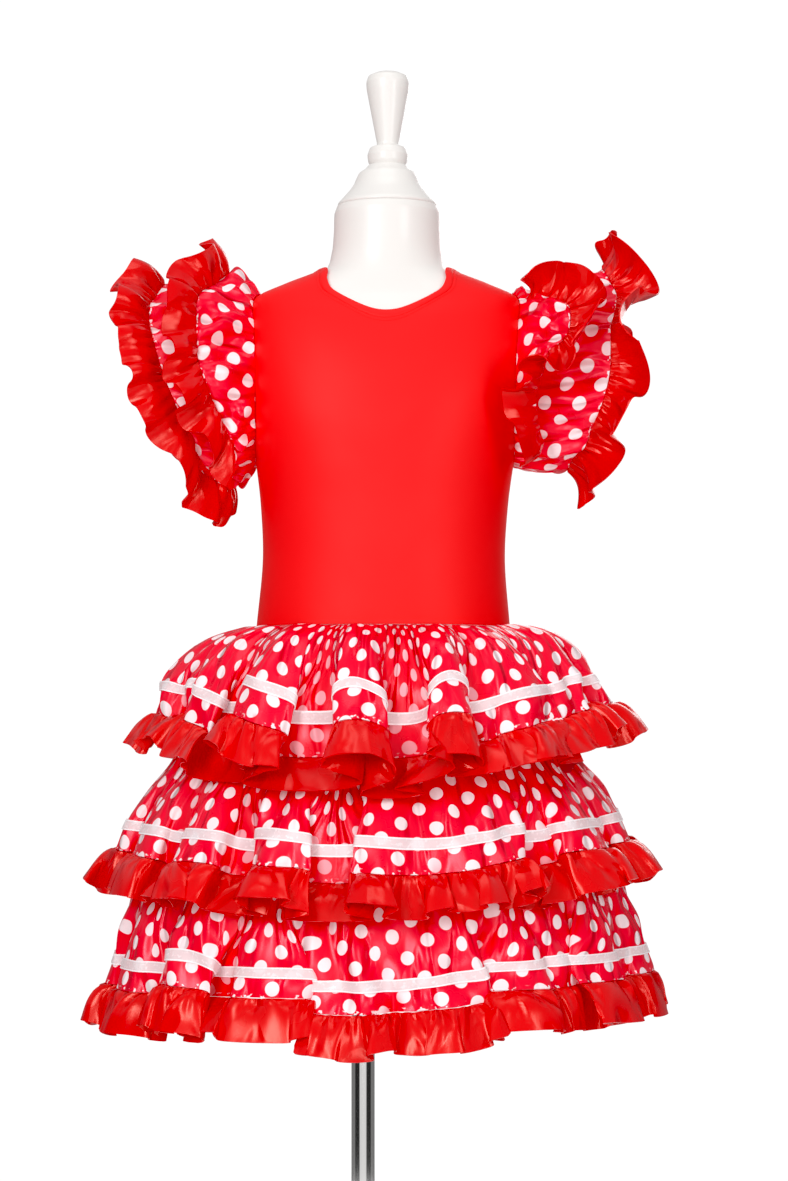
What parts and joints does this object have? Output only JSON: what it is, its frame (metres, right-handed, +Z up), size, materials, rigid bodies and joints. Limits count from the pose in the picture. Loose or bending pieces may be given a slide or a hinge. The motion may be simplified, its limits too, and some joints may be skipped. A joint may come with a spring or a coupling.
{
  "type": "flamenco dress on a dress form",
  "caption": "Child's short flamenco dress with ruffled tiers and flounced cap sleeves, standing on a plain white dress form with a chrome pole and round base.",
  "frame": {"origin": "centre of the stand's base on the surface it stands on, under the pole's axis", "axes": "+Z up along the pole, -Y towards the front of the dress, +X towards the wearer's left"},
  "size_m": [0.4972, 0.4388, 1.1101],
  "materials": {
    "red_stretch": "bright red stretch knit with a soft sheen",
    "red_lining": "plain red satin underskirt",
    "dotted_satin": "crimson satin with a common pattern of white dots",
    "red_satin": "glossy red satin",
    "white_organza": "sheer white ribbon",
    "white_form": "smooth white paint with a low gloss",
    "chrome": "polished chrome"
  },
  "bodies": {
    "root": {"bodice_front": "red_stretch", "bodice_back": "red_stretch", "neck_binding": "red_stretch", "skirt_base": "red_lining", "tier_1": "dotted_satin", "tier_2": "dotted_satin", "tier_3": "dotted_satin", "ribbon_1": "white_organza", "ribbon_2": "white_organza", "ribbon_3": "white_organza", "frill_1": "red_satin", "frill_2": "red_satin", "frill_3": "red_satin", "sleeve_left_lower_flounce": "dotted_satin", "sleeve_left_lower_frill": "red_satin", "sleeve_left_upper_flounce": "dotted_satin", "sleeve_left_upper_frill": "red_satin", "sleeve_right_lower_flounce": "dotted_satin", "sleeve_right_lower_frill": "red_satin", "sleeve_right_upper_flounce": "dotted_satin", "sleeve_right_upper_frill": "red_satin", "form_torso": "white_form", "neck_cap": "white_form", "finial": "white_form", "pole": "chrome", "stand_base": "chrome"}
  },
  "joints": []
}
